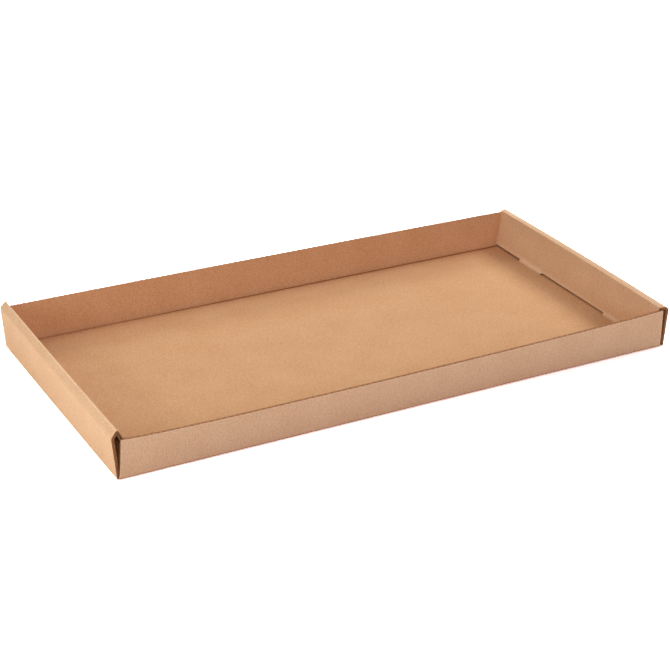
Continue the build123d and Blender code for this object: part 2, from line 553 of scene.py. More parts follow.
@dataclass(frozen=True)
class LongSide:
    """A long side of the tray with the two corner folds that turn into flaps."""

    hand: int
    bow: float  # how much further out the top stands at mid-length
    tops: tuple[Point, ...]  # heights of the top edge, from the left end at -1 to the right at 1
    bevel: float = 0.0  # how much lower the top edge is at the outside face
    foot_out: float = 0.0  # how far the foot stands out at the left end
    # scuffs and painted highlight along the top edge
    top_scuff_and_highlight: float = 1.0
    # painted shade along the fold at the foot
    fold_painted_shade: float = -1.0
    corner_lightening: Point = (0.0, 1.0)  # lighter tint of the left and the right corner fold
    shaded: float = 0.8  # painted shade where the paper turns in between an end's walls
    shade_step: float = 0.4  # how much less it is a column further on
    bend: float = 0.8  # outer radius of the fold at the foot
    corner_bend: float = 0.6  # outer radius of a corner fold
    sharpest: float = 0.05  # least radius of a corner fold
    seam: float = 0.06  # how far inside the board's inner face a corner fold's line starts
    scuff: float = 1.3  # width of the narrow strips along the top edge and the corner folds, over which their lighter tint fades
    wall_parts: int = 34
    arc_steps: int = 4
    rise_parts: int = 5
    flap_parts: int = 6
    flap_length: float = 112.0
    flap_low: float = 6.0
    flap_high: float = 35.0
    flap_taper: float = 3.0  # how much each long edge of a flap draws in at its free end
    flap_pinch: float = 0.6  # share of the board's thickness left at the top of a flap's fold

    def top(self, along: float) -> float:
        """How high the side stands at a place along it.

        Args:
            along: the place, from -1 at its left end to 1 at its right end.

        Returns:
            The height of its top edge.
        """
        for (x0, z0), (x1, z1) in zip(self.tops, self.tops[1:]):
            if along <= x1:
                return mix(z0, z1, (max(along, x0) - x0) / (x1 - x0))
        return self.tops[-1][1]

    @property
    def corner_columns(self) -> int:
        """How many points of the side's line belong to one corner fold."""
        return self.arc_steps + 3

    def corner_place(self, end: FoldedEnd, height: float) -> float:
        """Where a corner fold stands along X at a height."""
        return end.side * (TRAY.half_length - end.corner_set - end.flare(height))

    def level(self, height: float, depth: float, narrow: float) -> list[Spot]:
        """The side's line at one level, from the left corner fold to the right one.

        Args:
            height: the level, as a height at mid-length.
            depth: how far in from the outside face.
            narrow: how far the rounded fold at the foot draws the line in.

        Returns:
            Points in the tray's own frame.
        """
        share = height / TRAY.side_height
        set_in = depth + narrow
        left = self.corner_place(LEFT, height) + set_in
        right = self.corner_place(RIGHT, height) - set_in
        face = TRAY.half_width + TRAY.side_lean * share - set_in
        inner = TRAY.half_width + TRAY.side_lean * share - BOARD.thickness - self.seam
        radius = max(self.corner_bend - set_in, self.sharpest)
        corner = fillet((left, -inner), (left, -face), (right, -face), radius, self.arc_steps)
        start = corner[-1][0] + self.scuff
        stop = left + right - start
        middle = (left + right) / 2
        line = [(left, inner), *[(x, -y) for x, y in corner], (start, face)]
        line += [(x, face) for x, _ in between((start, 0), (stop, 0), self.wall_parts)]
        line += [(2 * middle - x, y) for x, y in reversed(line[: self.corner_columns])]
        half = (right - left) / 2
        spots = []
        for x, y in line:
            along = (x - middle) / half
            out = self.bow * share * (1 - along**2) + self.foot_out * (1 - share) * (1 - along) / 2
            short = self.bevel * (1 - depth / BOARD.thickness)
            tall = height * mix(1.0, (self.top(along) - short) / TRAY.side_height, share)
            spots.append((x, self.hand * (y + out), tall))
        return spots

    def levels(self, depth: float) -> Grid:
        """The side's grid at one depth, from the edge of the base, round the fold, to its top edge.

        Args:
            depth: how far in from the outside face.

        Returns:
            One row for each level, the first of which meets the base.
        """
        radius = self.bend - depth
        grid = [self.level(depth, depth, BOARD.bend - depth)]
        for step in range(self.arc_steps + 1):
            angle = math.pi / 2 * step / self.arc_steps
            drawn = radius * (1 - math.sin(angle))
            row = self.level(self.bend - radius * math.cos(angle), depth, drawn)
            grid.append(row)
        return grid + [self.level(height, depth, 0.0) for height in self.heights(self.bend)[1:]]

    def heights(self, low: float) -> list[float]:
        """The heights of the side's rows from a low one to its top edge.

        Args:
            low: the height of the first row.

        Returns:
            The heights, with a narrow row at each end, over which the top edge's scuffs and painted
            highlight, and the foot fold's painted shade, fade out.
        """
        start, high = low + self.scuff, TRAY.side_height - self.scuff
        rise = [mix(start, high, part / self.rise_parts) for part in range(self.rise_parts + 1)]
        return [low, *rise, TRAY.side_height]

    def inner_levels(self, depth: float) -> Grid:
        """The grid of a face on the tray's side, from just inside the base to the top edge."""
        return [self.level(height, depth, 0.0) for height in self.heights(BOARD.bend)]

    def paper(self, grid: Callable[[float], Grid], outer: float, inner: float) -> Sheet:
        """A liner of the side between two depths.

        Args:
            grid: the method that gives the side's grid at a depth.
            outer: the depth of one face of the paper.
            inner: the depth of its other face.

        Returns:
            The paper, with both its corner folds.
        """
        front, back = grid(outer), grid(inner)
        plan = [(x, y) for x, y, _ in front[-1]]
        lengths = [TRAY.half_width + z for _, _, z in (row[len(row) // 2] for row in front)]
        last_row, last_column = len(front) - 1, len(plan) - 1

        def wear_and_painted_light(row: int, column: int) -> float:
            """How much lighter the paper is painted at its top edge, with scuffs and painted highlight, and
            at its corner folds, and how much darker with painted shade at its foot.

            Args:
                row: the point's level.
                column: its place along the side.

            Returns:
                1 at the lightest, -1 at the darkest painted shade.
            """
            from_end = min(column, last_column - column)
            if row == last_row:
                return self.top_scuff_and_highlight
            if row <= self.arc_steps + 1 and grid == self.levels:
                return self.fold_painted_shade
            lighter = self.corner_lightening[column > from_end]
            return lighter * (1 <= from_end <= self.arc_steps + 1)

        def painted_shade(row: int, column: int) -> float:
            """Painted shade where the corner folds turn in between an end's walls."""
            return max(0.0, self.shaded - self.shade_step * min(column, last_column - column))

        return Sheet(front, back, lengths, run_lengths(plan), wear_and_painted_light=wear_and_painted_light, painted_shade=painted_shade)

    def flap(self, end: FoldedEnd, outer: float, inner: float) -> Sheet:
        """A liner of one corner flap, which lies between the end's two walls.

        Args:
            end: the end that holds the flap.
            outer: the depth of one face of the paper.
            inner: the depth of its other face.

        Returns:
            The paper, from the flap's fold to its free edge, with painted shade all over.
        """
        grids = []
        for depth in (outer, inner):
            grid = []
            for part in range(self.flap_parts + 1):
                share = part / self.flap_parts
                across = mix(TRAY.half_width - BOARD.thickness, TRAY.half_width - self.flap_length, share)
                row = []
                for height, taper in ((self.flap_low, 1), (self.flap_high, -1)):
                    z = height + taper * self.flap_taper * share
                    profile = end.profile(self.hand * across)
                    outer_wall = profile.stands(z) - BOARD.thickness
                    inner_wall = BOARD.thickness - TRAY.foot_set
                    middle = TRAY.half_length + (outer_wall + inner_wall) / 2 + BOARD.thickness / 2
                    place = mix(self.corner_place(end, z), end.side * middle, share)
                    squeezed = depth * mix(self.flap_pinch if height == self.flap_high else 1.0, 1.0, share)
                    row.append((place - end.side * squeezed, self.hand * across, z))
                grid.append(row)
            grids.append(grid)
        lengths = [row[0][1] for row in grids[0]]
        return Sheet(*grids, lengths, [self.flap_low, self.flap_high], painted_shade=lambda row, column: self.shaded)


LEFT = FoldedEnd(
    side=-1,
    near=EndProfile(
        lean=4.5,
        crease=42.2,
        ridge=10.5,
        rise=8.6,
        belly=27.0,
        belly_reach=-0.8,
        crease_bend=5.0,
        peak_bend=1.8,
        foot=4.6,
        out=-0.3,
    ),
    far=EndProfile(
        lean=3.4,
        crease=44.2,
        ridge=9.0,
        rise=6.4,
        belly=27.0,
        belly_reach=0.4,
        crease_bend=2.5,
        peak_bend=1.0,
        foot=4.6,
        out=0.8,
    ),
    corner_set=1.6,
    corner_flare=3.1,
    flare_shape=0.5,
    belly_bend=26.0,
    bow=0.3,
    base_bow=0.3,
    crown=0.0,
)
RIGHT = FoldedEnd(
    side=1,
    near=EndProfile(
        lean=2.0,
        crease=44.0,
        ridge=13.0,
        rise=1.3,
        belly=22.0,
        belly_reach=-1.4,
        crease_bend=5.5,
        peak_bend=1.3,
        foot=3.9,
        out=0.5,
    ),
    far=EndProfile(
        lean=-0.4,
        crease=46.0,
        ridge=8.0,
        rise=-1.5,
        belly=22.0,
        belly_reach=1.3,
        crease_bend=3.0,
        peak_bend=1.3,
        foot=4.7,
        foot_reach=-0.8,
        out=0.2,
    ),
    corner_set=3.8,
    corner_flare=2.0,
    flare_shape=1.5,
    belly_bend=60.0,
    bow=0.4,
    base_bow=0.0,
    crown=0.8,
    tab_lean=3.0,
)
FRONT_TOPS = (
    (-1.0, 39.9),
    (-0.95, 38.7),
    (-0.7, 38.1),
    (-0.3, 38.9),
    (0.1, 39.6),
    (0.5, 40.1),
    (0.9, 40.7),
    (1.0, 41.8),
)
FRONT = LongSide(hand=-1, bow=4.0, tops=FRONT_TOPS, foot_out=0.7)
BACK = LongSide(hand=1, bow=1.5, tops=((-1.0, 44.5), (1.0, 43.4)), bevel=1.3, top_scuff_and_highlight=0.5)


@dataclass(frozen=True)
class Crease:
    """One line of the valley that a side's fold has pressed into the base's inside liner."""

    aside: float  # how far outwards of the valley's bottom it runs
    rise: float  # how high the inside liner stands there, 0 being flat
    wear_and_painted_light: float  # painted highlight where it is above zero, painted shade where it is below zero


@dataclass
class EndsAndBase:
    """The base and both folded-over ends, which are one strip of board along the tray."""

    valley: tuple[Crease, ...] = (
        Crease(1.6, -0.6, -0.7),
        Crease(0.0, -1.1, -1.7),
        Crease(-1.2, 0.15, 0.5),
        Crease(-3.2, 0.0, 0.6),
    )
    valley_place: float = 142.0  # across the tray to its bottom, at the right end
    valley_drift: float = 2.0  # how much further out it lies at the left end
    beside_valley: Point = (0.45, 0.2)  # painted light that lightens the next two columns on the tray's side
    fold_painted_shade: float = -1.0  # painted shade of the base folds
    foot_highlight: float = 1.0  # painted highlight along the inner walls' lower edges
    edge_highlight: float = 0.6  # painted highlight along the ends' cut edges
    peak_highlight_and_shadow: Point = (1.0, -0.8)  # painted highlight on top of the left inner crease, painted shadow below it
    peak_reach: int = 2  # rows from its middle up to where the painted highlight starts, and down to the painted dark line
    ridge_highlight: float = 0.8  # painted highlight on the right ridge at the back, from none at mid-width
    wall_shade: float = 0.9  # painted shade under an inner wall
    slot_shade: float = 0.5  # painted shade along the slots' outer edges
    edge_shade: tuple[float, ...] = (0.8, 0.8, 0.7, 0.5)  # painted shade in the columns at the strip's edges
    side_top: float = 42.0  # height up to which the inner walls follow the lean of the long sides
    spacing: float = 12.0  # between stations that only fill a wide gap
    clear: float = 3.0  # least distance from such a station to the others
    base_parts: int = 24
    count: int = field(init=False)  # points in each end's line
    stations: list[float] = field(init=False)  # places across the tray, one for each column
    base_marks: list[float] = field(init=False)  # places along the base, one for each row

    def __post_init__(self) -> None:
        """Works out the stations across the tray and the marks along the base."""
        self.count = len(LEFT.line(0.0, 0.0))
        fold = TRAY.half_width - BOARD.bend
        edge = TRAY.half_width - BOARD.gap
        half = TRAY.tab_width / 2
        marks = {0.0, fold, -fold, edge, -edge}
        for crease in self.valley:
            marks |= {self.valley_place + crease.aside, -self.valley_place - crease.aside}
        for middle in TRAY.tab_middles:
            for reach in (half, half + TRAY.slot_play):
                marks |= {middle - reach, middle + reach}
        steps = int(edge / self.spacing)
        for index in range(1 - steps, steps):
            place = index * self.spacing
            if all(abs(place - mark) > self.clear for mark in marks):
                marks.add(place)
        self.stations = sorted(marks)
        left, right = (end.side * (TRAY.half_length + end.slot_line[0]) for end in (LEFT, RIGHT))
        shares = [part / self.base_parts for part in range(self.base_parts + 1)]
        self.base_marks = [mix(left, right, share) for share in shares]

    @property
    def last_row(self) -> int:
        """The strip's last row of points, at the tips of the right tabs."""
        return 2 * self.count + len(self.base_marks) - 1

    def grid(self, depth: float) -> Grid:
        """Points of the strip at one depth, from the left tabs' tips to the right ones.

        Args:
            depth: how far in from the outside face.

        Returns:
            One row for each point of the section, each with one point for each station.
        """
        columns = [self.section(across, depth) for across in self.stations]
        return [list(row) for row in zip(*columns)]

    def section(self, across: float, depth: float) -> list[Spot]:
        """The strip's section at a station, with the cut ends of the inner walls drawn in.

        Args:
            across: the station.
            depth: how far in from the outside face.

        Returns:
            Points from the left tabs' tips to the right ones.
        """
        left = self.end_spots(LEFT, across, depth)
        right = self.end_spots(RIGHT, across, depth)
        base = [self.base_spot(x, across, depth) for x in self.base_marks]
        return [*reversed(left), *base, *right]

    def base_spot(self, x: float, across: float, depth: float) -> Spot:
        """A point of the base, sunk where a side's fold has pressed a valley.

        Args:
            x: the place along the tray.
            across: the station.
            depth: how far in from the outside face.

        Returns:
            The point in the tray's own frame.
        """
        for crease in self.valley[:-1]:
            if abs(abs(across) - self.valley_place - crease.aside) < NEAR:
                drift = self.valley_drift * (0.5 - x / TRAY.length) ** 2
                sunk = crease.rise * depth / BOARD.thickness
                return (x, across + math.copysign(drift, across), depth + sunk)
        return (x, across, depth)

    def end_spots(self, end: FoldedEnd, across: float, depth: float) -> list[Spot]:
        """One end's part of a section, in the tray's own frame.

        Args:
            end: the end.
            across: the station.
            depth: how far in from the outside face.

        Returns:
            Points from the slots to the tips of the tabs.
        """
        plain = end.line(across, depth)
        outer = end.line(across, 0.0)
        spots = []
        for row, (u, z) in enumerate(plain):
            y = across
            if end.fold_middle < row < end.crease_row:
                thin = end.thin(across, z)
                if thin < 1:
                    u0, z0 = outer[row]
                    u, z = mix(u0, u, thin), mix(z0, z, thin)
            if row >= end.cut_row and abs(abs(across) - (TRAY.half_width - BOARD.bend)) < NEAR:
                inside = TRAY.half_width - BOARD.thickness - BOARD.gap
                leaned = TRAY.side_lean * min(z, self.side_top) / TRAY.side_height
                y = math.copysign(inside + leaned, across)
            if row >= len(plain) - TAB_ROWS:
                y = self.tapered(across)
            spots.append((end.side * (TRAY.half_length + u), y, z))
        return spots

    def tapered(self, across: float) -> float:
        """A place across a tab, drawn towards the tab's middle at its tip.

        Args:
            across: the station.

        Returns:
            The place at the tip, or the station itself where there is no tab.
        """
        for middle in TRAY.tab_middles:
            half = TRAY.tab_width / 2
            if abs(across - middle) <= half + NEAR:
                return middle + (across - middle) * (1 - TRAY.tab_taper / half)
        return across

    def keep(self, row: int, column: int) -> bool:
        """Whether a cell of the grid is board.

        Args:
            row: the cell's place along the strip.
            column: its place across the tray.

        Returns:
            False in the slots, beside the tabs and where the long sides stand.
        """
        middle = (self.stations[column] + self.stations[column + 1]) / 2
        from_end = min(row, self.last_row - 1 - row)
        reach = min(abs(middle - tab) for tab in TRAY.tab_middles)
        if from_end < TAB_ROWS:
            return reach < TRAY.tab_width / 2
        if from_end == self.count - 1:
            return reach > TRAY.tab_width / 2 + TRAY.slot_play and self.within(middle)
        if from_end >= self.count - 2 or from_end < self.count - 1 - LEFT.cut_row:
            return self.within(middle)
        return True

    def wear_and_painted_light(self, row: int, column: int) -> float:
        """How much painted light a point of the paper has: painted highlight above zero, painted shade
        below zero.

        Args:
            row: the point's place along the strip.
            column: its place across the tray.

        Returns:
            1 at the brightest painted highlight, -1 or less at the darkest painted shade.
        """
        from_end, from_edge = self.margins(row, column)
        if from_end >= self.count:
            base_light_and_shade = (0.0, 0.0, *[crease.wear_and_painted_light for crease in self.valley], *self.beside_valley)
            return base_light_and_shade[from_edge] if from_edge < len(base_light_and_shade) else 0.0
        step = self.count - 1 - from_end
        if LEFT.fold_row <= step <= LEFT.fold_row + LEFT.arc_steps:
            return self.fold_painted_shade
        if from_end == TAB_ROWS:
            return self.foot_highlight
        if step > LEFT.cut_row:
            return self.edge_highlight * (from_edge == 1)
        on_left = row < self.count
        pale, dark = self.peak_highlight_and_shadow
        if on_left and LEFT.peak_middle - self.peak_reach <= step <= LEFT.peak_middle:
            return pale
        if on_left and step == LEFT.peak_middle + self.peak_reach:
            return dark
        if not on_left and LEFT.crease_middle <= step <= LEFT.peak_middle:
            return self.ridge_highlight * max(0.0, self.stations[column] / TRAY.half_width)
        return self.edge_highlight * (from_edge == 0)

    def painted_shade(self, row: int, column: int) -> float:
        """How much painted shade a point of the inside liner has, under an inner wall or at the strip's
        edges.

        Args:
            row: the point's place along the strip.
            column: its place across the tray.

        Returns:
            0 in the open, and nearer to 1 the less light gets in.
        """
        from_end, from_edge = self.margins(row, column)
        step = self.count - 1 - from_end
        if 0 <= step <= LEFT.fold_row + LEFT.arc_steps:
            return self.wall_shade if step else self.slot_shade
        if step < LEFT.cut_row and from_edge < len(self.edge_shade):
            return self.edge_shade[from_edge]
        return 0.0

    def margins(self, row: int, column: int) -> tuple[int, int]:
        """How many rows lie to the strip's nearer end, and how many columns to its nearer edge."""
        return min(row, self.last_row - row), min(column, len(self.stations) - 1 - column)

    def within(self, across: float) -> bool:
        """Whether a place across the tray is between the two long sides' folds."""
        return abs(across) < TRAY.half_width - BOARD.bend

    def paper(self, outer: float, inner: float) -> Sheet:
        """A paper of the strip between two depths.

        Args:
            outer: the depth of one face of the paper.
            inner: the depth of its other face.

        Returns:
            The paper, with painted shade where it is the inside liner.
        """
        section = [(x, z) for x, _, z in self.section(0.0, outer)]
        lengths = run_lengths(section)
        sheet = Sheet(self.grid(outer), self.grid(inner), lengths, self.stations, self.keep, self.wear_and_painted_light)
        return replace(sheet, painted_shade=self.painted_shade) if outer > 0 else sheet


@dataclass(frozen=True)
class EdgePath:
    """The middle of the board along one cut edge."""

    spots: list[Spot]
    across: list[Spot]
    inward: list[Spot]
    fullness: list[float]

    def mesh(self, name: str) -> bpy.types.Mesh:
        """The path as a line of edges that carries what the waves need to know.

        Args:
            name: the mesh's name.

        Returns:
            A mesh without faces.
        """
        mesh = bpy.data.meshes.new(name)
        edges = [(index, index + 1) for index in range(len(self.spots) - 1)]
        mesh.from_pydata([Vector(spot) * MM for spot in self.spots], edges, [])
        for label, ways in (("across", self.across), ("inward", self.inward)):
            stored = mesh.attributes.new(label, "FLOAT_VECTOR", "POINT")
            stored.data.foreach_set("vector", [value for way in ways for value in way])
        fullness = mesh.attributes.new("fullness", "FLOAT", "POINT")
        fullness.data.foreach_set("value", self.fullness)
        return mesh


@dataclass
class FlutedEdges:
    """The fluted paper that shows between the liners along the cut edges."""

    finish: bpy.types.Material
    depth: float = 7.0  # how far in from the cut edge it reaches
    samples: int = 10  # points in each wave
    shy: float = 0.08  # how far it stands back from the liners' edges
    wobble: float = 0.35  # unevenness of the waves, as a share of their swing
    wobble_scale: float = 0.9
    pressed_depth: float = 0.4  # from an end's cut edge in to the pressed paper
    pressed_least: float = 0.1  # least share of its full height that the pressed paper keeps
    bent_by: float = 0.2  # change of the board's thickness that shows it is bent
    bent_fullness: float = 0.45  # share of the waves' swing left where it is
    tree: Tree = field(init=False)

    def __post_init__(self) -> None:
        """Builds the node tree that waves a strip of paper along a path."""
        self.tree = self.build_tree()

    def build_tree(self) -> Tree:
        """The node tree: a path in, a waved strip of paper out.

        Returns:
            The tree, with its sizes as named inputs.
        """
        tree = bpy.data.node_groups.new("waved_paper", "GeometryNodeTree")
        face = tree.interface
        face.new_socket("Path", in_out="INPUT", socket_type="NodeSocketGeometry")
        for name in ("Pitch", "Swing", "Paper", "Depth", "Sample", "Wobble"):
            face.new_socket(name, in_out="INPUT", socket_type="NodeSocketFloat")
        face.new_socket("Seed", in_out="INPUT", socket_type="NodeSocketInt")
        face.new_socket("Finish", in_out="INPUT", socket_type="NodeSocketMaterial")
        face.new_socket("Strip", in_out="OUTPUT", socket_type="NodeSocketGeometry")
        given = tree.nodes.new("NodeGroupInput").outputs

        def reckon(kind: str, first: Socket, second: Socket | float) -> Socket:
            """A math node on two inputs."""
            return put(tree, "ShaderNodeMath", {0: first, 1: second}, operation=kind)

        def stored(name: str, kind: str) -> Socket:
            """A value that the path's points carry."""
            return put(tree, "GeometryNodeInputNamedAttribute", {"Name": name}, "Attribute", data_type=kind)

        path = put(tree, "GeometryNodeMeshToCurve", {"Mesh": given["Path"]})
        step = {"Curve": path, "Length": given["Sample"]}
        fine = put(tree, "GeometryNodeResampleCurve", step, mode="LENGTH")
        along = put(tree, "GeometryNodeSplineParameter", {}, "Length")
        turns = reckon("DIVIDE", along, given["Pitch"])
        wave = reckon("SINE", reckon("MULTIPLY", turns, math.tau), 0.0)
        place = {"Scale": self.wobble_scale, "W": reckon("ADD", turns, given["Seed"])}
        uneven = put(tree, "ShaderNodeTexNoise", place, noise_dimensions="1D")
        sway = reckon("MULTIPLY", reckon("SUBTRACT", uneven, NOISE_MIDDLE), given["Wobble"])
        full = reckon("MULTIPLY", given["Swing"], stored("fullness", "FLOAT"))
        swing = reckon("MULTIPLY", reckon("ADD", wave, sway), full)
        across = {0: stored("across", "FLOAT_VECTOR"), "Scale": swing}
        shift = put(tree, "ShaderNodeVectorMath", across, operation="SCALE")
        moved = put(tree, "GeometryNodeSetPosition", {"Geometry": fine, "Offset": shift})
        inward = {"Curve": moved, "Normal": stored("inward", "FLOAT_VECTOR")}
        upright = put(tree, "GeometryNodeSetCurveNormal", inward, mode="FREE")
        sizes = {"Width": given["Depth"], "Height": given["Paper"]}
        section = put(tree, "GeometryNodeCurvePrimitiveQuadrilateral", sizes)
        offset = put(tree, "ShaderNodeCombineXYZ", {"X": reckon("MULTIPLY", given["Depth"], 0.5)})
        sunk = put(tree, "GeometryNodeTransform", {"Geometry": section, "Translation": offset})
        sweep = {"Fill Caps": True, "Curve": upright, "Profile Curve": sunk}
        strip = put(tree, "GeometryNodeCurveToMesh", sweep)
        whole = put(tree, "GeometryNodeRealizeInstances", {"Geometry": strip})
        dressed = put(tree, "GeometryNodeSetMaterial", {"Geometry": whole, "Material": given["Finish"]})
        tree.links.new(dressed, tree.nodes.new("NodeGroupOutput").inputs["Strip"])
        return tree

    def strip(self, path: EdgePath, seed: int) -> bpy.types.Mesh:
        """The waved paper along one path.

        Args:
            path: the middle of the board along the cut edge.
            seed: what makes this strip's unevenness its own.

        Returns:
            A plain mesh of the strip.
        """
        holder = link("edge_path", path.mesh("edge_path"))
        modifier = holder.modifiers.new("waves", "NODES")
        modifier.node_group = self.tree
        sizes = {
            "Pitch": BOARD.pitch * MM,
            "Swing": BOARD.wave * MM,
            "Paper": BOARD.paper * MM,
            "Depth": self.depth * MM,
            "Sample": BOARD.pitch * MM / self.samples,
            "Wobble": self.wobble,
            "Seed": seed,
            "Finish": self.finish,
        }
        for item in self.tree.interface.items_tree:
            if item.in_out == "INPUT" and item.name in sizes:
                modifier[item.identifier] = sizes[item.name]
        graph = bpy.context.evaluated_depsgraph_get()
        mesh = bpy.data.meshes.new_from_object(holder.evaluated_get(graph), depsgraph=graph)
        source = holder.data
        bpy.data.objects.remove(holder)
        bpy.data.meshes.remove(source)
        return mesh

    def pressed(self, path: EdgePath) -> Sheet:
        """The pressed paper that fills the open flutes a little way in from an end's cut edge, tinted all
        over with painted shade.

        Args:
            path: the middle of the board along the cut edge.

        Returns:
            A thin paper that closes the flutes.
        """
        grids = []
        for sunk in (self.pressed_depth, self.pressed_depth + BOARD.paper):
            grid = []
            for spot, across, inward, full in zip(path.spots, path.across, path.inward, path.fullness):
                middle = Vector(spot) + Vector(inward) * sunk
                half = Vector(across) * (BOARD.wave + BOARD.paper / 2) * max(full, self.pressed_least)
                grid.append([(middle - half).to_tuple(), (middle + half).to_tuple()])
            grids.append(grid)
        lengths = [float(index) for index in range(len(path.spots))]
        # painted shade all over the pressed paper
        return Sheet(*grids, lengths, [0.0, BOARD.thickness], painted_shade=lambda row, column: 1.0)

    def side_path(self, side: LongSide) -> EdgePath:
        """The path along the top edge of a long side.

        Args:
            side: the long side.

        Returns:
            The path between its two corner folds.
        """
        ends = slice(side.arc_steps + 1, -side.arc_steps - 1)
        edge = side.level(TRAY.side_height, BOARD.thickness / 2, 0.0)[ends]
        below = side.level(TRAY.side_height - self.depth, BOARD.thickness / 2, 0.0)[ends]
        inward = [(Vector(low) - Vector(high)).normalized().to_tuple() for low, high in zip(below, edge)]
        spots = [(x, y, z - self.shy) for x, y, z in edge]
        return EdgePath(spots, [(0.0, 1.0, 0.0)] * len(spots), inward, [1.0] * len(spots))

    def end_path(self, end: FoldedEnd, hand: int) -> EdgePath:
        """The path up an end's outer wall, over its ridge and down to the long side's top.

        Args:
            end: the end.
            hand: -1 for its front edge, 1 for its back one.

        Returns:
            The path, with less room for waves where the board is pressed or bent.
        """
        edge = hand * (TRAY.half_width - BOARD.gap)
        first = end.fold_middle
        outside = end.line(edge, 0.0)[first : end.cut_row + 1]
        inside = end.line(edge, BOARD.thickness)[first : end.cut_row + 1]
        spots, across, fullness = [], [], []
        crease = end.crease_row - first
        for index, ((u0, z0), (u1, z1)) in enumerate(zip(outside, inside)):
            thin = end.thin(edge, z0) if index < crease else 1.0
            u, z = mix(u0, u1, thin / 2), mix(z0, z1, thin / 2)
            span = math.hypot(u1 - u0, z1 - z0)
            spots.append((end.side * (TRAY.half_length + u), edge - hand * self.shy, z))
            across.append((end.side * (u1 - u0) / span, 0.0, (z1 - z0) / span))
            spare = BOARD.thickness * thin - 2 * BOARD.liner - BOARD.paper
            full = max(0.0, spare / (2 * BOARD.wave))
            bent = abs(math.dist((u0, z0), (u1, z1)) - BOARD.thickness) > self.bent_by
            fullness.append(full * (self.bent_fullness if bent else 1.0))
        return EdgePath(spots, across, [(0.0, -float(hand), 0.0)] * len(spots), fullness)

    def build(self) -> bpy.types.Object:
        """All the strips of fluted paper as one piece.

        Returns:
            The fluted paper's object.
        """
        paths = [self.side_path(FRONT), self.side_path(BACK)]
        paths += [self.end_path(end, hand) for end in (LEFT, RIGHT) for hand in (-1, 1)]
        whole = bmesh.new()
        for seed, path in enumerate(paths):
            mesh = self.strip(path, seed)
            whole.from_mesh(mesh)
            bpy.data.meshes.remove(mesh)
        for path in paths[2:]:
            self.pressed(path).write(whole)
        return finished(Paper.FLUTED.value, whole, self.finish)


@dataclass(frozen=True)
class Pattern:
    """One noise of the paper, which may be stretched along the way it ran through its machine."""

    scale: float
    detail: float
    stretch: Spot = (1.0, 1.0, 1.0)

    def build(self, tree: Tree, where: Socket) -> Socket:
        """Adds the noise to a material.

        Args:
            tree: the material's tree.
            where: the place on the paper.

        Returns:
            The noise, from 0 to 1.
        """
        place = put(tree, "ShaderNodeMapping", {"Scale": self.stretch, "Vector": where})
        noise = {"Scale": self.scale, "Detail": self.detail, "Vector": place}
        return put(tree, "ShaderNodeTexNoise", noise)


CLOUDS = Pattern(28.0, 3.0)
BLOTCHES = Pattern(210.0, 3.0)
STREAKS = Pattern(260.0, 2.0, (4.0, 0.35, 1.0))
FIBRES = Pattern(600.0, 2.0, (1.0, 3.0, 1.0))
GRAIN = Pattern(650.0, 1.0)


